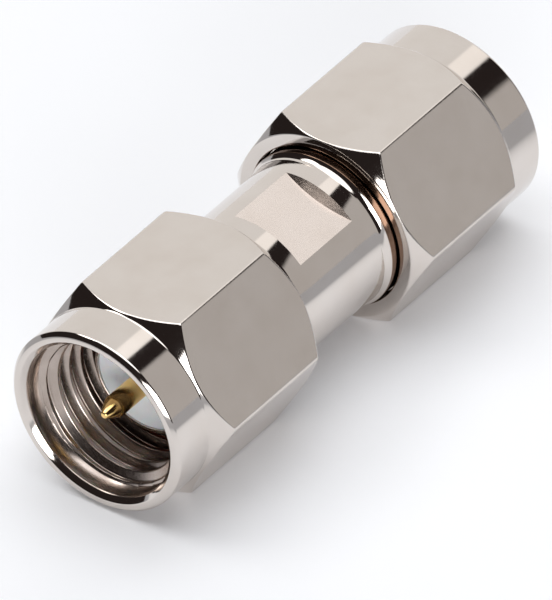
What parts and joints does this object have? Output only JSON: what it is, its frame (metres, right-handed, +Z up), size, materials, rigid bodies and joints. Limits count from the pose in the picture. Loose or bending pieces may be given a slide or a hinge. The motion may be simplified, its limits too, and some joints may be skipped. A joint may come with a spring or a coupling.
{
  "type": "coaxial adapter",
  "caption": "Straight plug-to-plug coaxial adapter: a turned barrel with wrench flats, pin contacts in white insulators, and a free-turning hexagon coupling nut at each end.",
  "frame": {"origin": "middle of the adapter's length, on its axis, half way up as it lies", "axes": "+X along the axis towards nut b, +Z up as it lies on one flat of each nut, +Y completes the right-handed frame"},
  "size_m": [0.0226, 0.0092, 0.008],
  "materials": {
    "body_nickel": "bright nickel plate on turned brass",
    "nut_nickel": "bright nickel plate on turned brass",
    "contact_gold": "gold plate on machined brass",
    "spring_bronze": "plain spring bronze",
    "dielectric": "white fluoropolymer, cut face",
    "seal_rubber": "moulded silicone rubber, matt red-brown"
  },
  "bodies": {
    "barrel": {"barrel": "body_nickel", "center_contact": "contact_gold", "snap_ring_a": "spring_bronze", "snap_ring_b": "spring_bronze", "insulator_a": "dielectric", "insulator_b": "dielectric", "gasket_a": "seal_rubber", "gasket_b": "seal_rubber"},
    "nut_a": {"coupling_nut_a": "nut_nickel"},
    "nut_b": {"coupling_nut_b": "nut_nickel"}
  },
  "joints": [
    {"name": "nut_a_spin", "type": "hinge", "parent": "barrel", "child": "nut_a", "pos_m": [-0.00715, 0, 0], "axis": [1, 0, 0], "continuous": true},
    {"name": "nut_b_spin", "type": "hinge", "parent": "barrel", "child": "nut_b", "pos_m": [0.00715, 0, 0], "axis": [1, 0, 0], "continuous": true}
  ]
}
